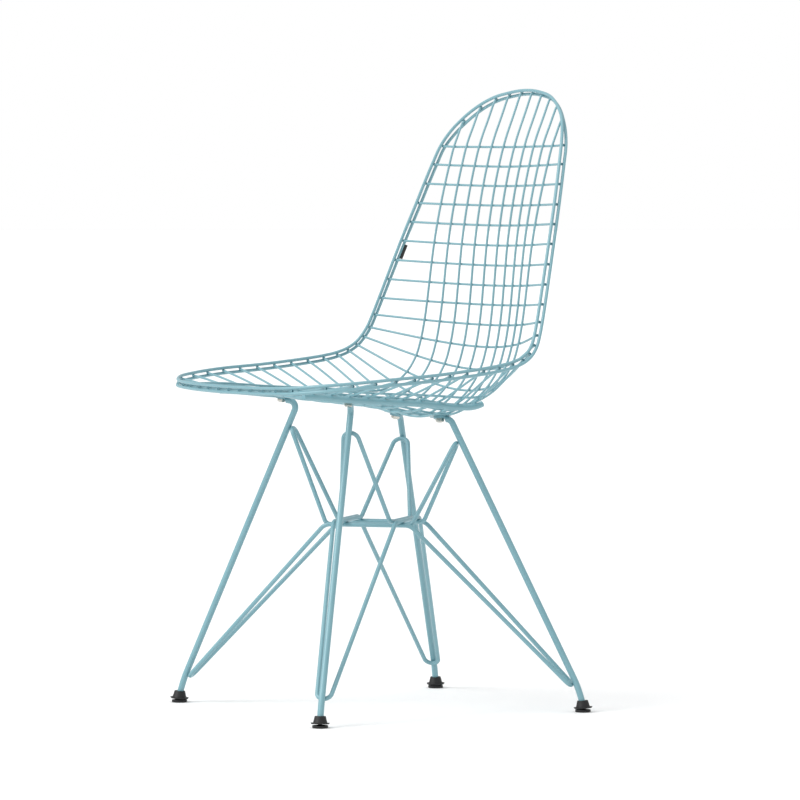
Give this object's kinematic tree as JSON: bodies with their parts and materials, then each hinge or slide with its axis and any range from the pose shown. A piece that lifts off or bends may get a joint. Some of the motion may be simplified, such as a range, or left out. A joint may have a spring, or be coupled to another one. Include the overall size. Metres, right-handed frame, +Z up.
{
  "type": "wire mesh dining chair",
  "caption": "Side chair with a bowl-shaped seat and back welded from thin steel wires in a double edge wire, on four bent rod legs with crossed bracing loops and tilting glides.",
  "frame": {"origin": "on the floor under the middle of the overall box", "axes": "+Z up, -Y the way the sitter faces, +X to the right of someone who looks along +Y at the front"},
  "size_m": [0.4858, 0.4818, 0.8405],
  "materials": {
    "powder_coat": "satin sky blue powder coat on steel wire and rod",
    "plated_steel": "bright zinc plate",
    "boot_rubber": "satin black rubber",
    "pad_plastic": "matt black nylon",
    "tag_plate": "matt black, bare"
  },
  "bodies": {
    "frame": {"lengthwise_wire_01": "powder_coat", "lengthwise_wire_02": "powder_coat", "lengthwise_wire_03": "powder_coat", "lengthwise_wire_04": "powder_coat", "lengthwise_wire_05": "powder_coat", "lengthwise_wire_06": "powder_coat", "lengthwise_wire_07": "powder_coat", "lengthwise_wire_08": "powder_coat", "lengthwise_wire_09": "powder_coat", "lengthwise_wire_10": "powder_coat", "cross_wire_01": "powder_coat", "cross_wire_02": "powder_coat", "cross_wire_03": "powder_coat", "cross_wire_04": "powder_coat", "cross_wire_05": "powder_coat", "cross_wire_06": "powder_coat", "cross_wire_07": "powder_coat", "cross_wire_08": "powder_coat", "cross_wire_09": "powder_coat", "cross_wire_10": "powder_coat", "cross_wire_11": "powder_coat", "cross_wire_12": "powder_coat", "cross_wire_13": "powder_coat", "cross_wire_14": "powder_coat", "cross_wire_15": "powder_coat", "cross_wire_16": "powder_coat", "cross_wire_17": "powder_coat", "cross_wire_18": "powder_coat", "cross_wire_19": "powder_coat", "cross_wire_20": "powder_coat", "cross_wire_21": "powder_coat", "cross_wire_22": "powder_coat", "cross_wire_23": "powder_coat", "cross_wire_24": "powder_coat", "cross_wire_25": "powder_coat", "cross_wire_26": "powder_coat", "edge_wire_inner": "powder_coat", "edge_wire_outer": "powder_coat", "seat_rod_left": "powder_coat", "seat_rod_right": "powder_coat", "mounting_plates": "powder_coat", "leg_bolts": "plated_steel", "leg_front_right": "powder_coat", "leg_front_left": "powder_coat", "leg_rear_right": "powder_coat", "leg_rear_left": "powder_coat", "brace_loop_upper_a": "powder_coat", "brace_loop_upper_b": "powder_coat", "brace_loop_lower_a": "powder_coat", "brace_loop_lower_b": "powder_coat", "foot_boot_front_right": "boot_rubber", "foot_boot_front_left": "boot_rubber", "foot_boot_rear_right": "boot_rubber", "foot_boot_rear_left": "boot_rubber", "edge_tag": "tag_plate"},
    "glide_front_right": {"glide_pad_front_right": "pad_plastic"},
    "glide_front_left": {"glide_pad_front_left": "pad_plastic"},
    "glide_rear_right": {"glide_pad_rear_right": "pad_plastic"},
    "glide_rear_left": {"glide_pad_rear_left": "pad_plastic"}
  },
  "joints": [
    {"name": "glide_tilt_front_right", "type": "hinge", "parent": "frame", "child": "glide_front_right", "pos_m": [0.1971, -0.2022, 0.007], "axis": [-0.6972, -0.7168, 0], "range_deg": [-4, 4]},
    {"name": "glide_tilt_front_left", "type": "hinge", "parent": "frame", "child": "glide_front_left", "pos_m": [-0.1971, -0.2022, 0.007], "axis": [-0.6972, 0.7168, 0], "range_deg": [-4, 4]},
    {"name": "glide_tilt_rear_right", "type": "hinge", "parent": "frame", "child": "glide_rear_right", "pos_m": [0.1951, 0.2045, 0.007], "axis": [0.7203, -0.6936, 0], "range_deg": [-4, 4]},
    {"name": "glide_tilt_rear_left", "type": "hinge", "parent": "frame", "child": "glide_rear_left", "pos_m": [-0.1951, 0.2045, 0.007], "axis": [0.7203, 0.6936, 0], "range_deg": [-4, 4]}
  ]
}
